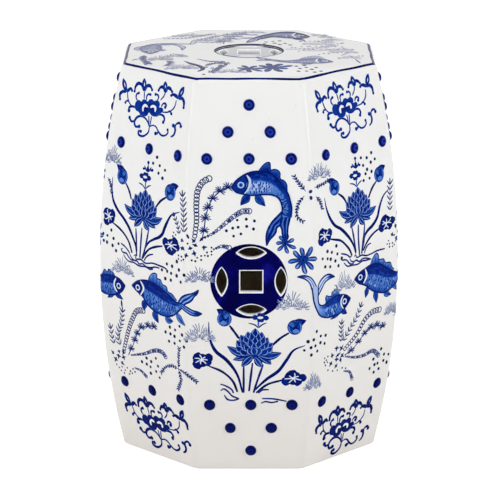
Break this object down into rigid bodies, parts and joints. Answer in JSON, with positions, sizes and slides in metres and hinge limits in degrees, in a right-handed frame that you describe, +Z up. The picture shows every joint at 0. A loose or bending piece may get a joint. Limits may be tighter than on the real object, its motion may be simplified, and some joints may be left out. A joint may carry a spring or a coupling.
{
  "type": "garden stool",
  "caption": "Eight-sided barrel garden stool in glazed ceramic, hollow, with pierced coin medallions as hand holds, rows of domed studs and a flat seat to sit on.",
  "frame": {"origin": "middle of the foot, on the floor", "axes": "+Z up through the seat, -Y out of the front facet with the coin, +X to the right seen from the front"},
  "size_m": [0.343, 0.343, 0.4578],
  "materials": {
    "glaze_white": "glossy white glaze painted in underglaze blue",
    "cobalt_blue": "underglaze cobalt blue under a glossy clear glaze",
    "bare_clay": "unglazed fired stoneware, matte"
  },
  "bodies": {
    "root": {"wall_front": "glaze_white", "wall_front_right": "glaze_white", "wall_right": "glaze_white", "wall_back_right": "glaze_white", "wall_back": "glaze_white", "wall_back_left": "glaze_white", "wall_left": "glaze_white", "wall_front_left": "glaze_white", "seat": "glaze_white", "front_medallion": "cobalt_blue", "back_medallion": "cobalt_blue", "seat_medallion": "cobalt_blue", "front_upper_studs": "cobalt_blue", "front_lower_studs": "cobalt_blue", "front_right_upper_studs": "cobalt_blue", "front_right_lower_studs": "cobalt_blue", "right_upper_studs": "cobalt_blue", "right_lower_studs": "cobalt_blue", "back_right_upper_studs": "cobalt_blue", "back_right_lower_studs": "cobalt_blue", "back_upper_studs": "cobalt_blue", "back_lower_studs": "cobalt_blue", "back_left_upper_studs": "cobalt_blue", "back_left_lower_studs": "cobalt_blue", "left_upper_studs": "cobalt_blue", "left_lower_studs": "cobalt_blue", "front_left_upper_studs": "cobalt_blue", "front_left_lower_studs": "cobalt_blue", "foot_ring": "bare_clay"}
  },
  "joints": []
}
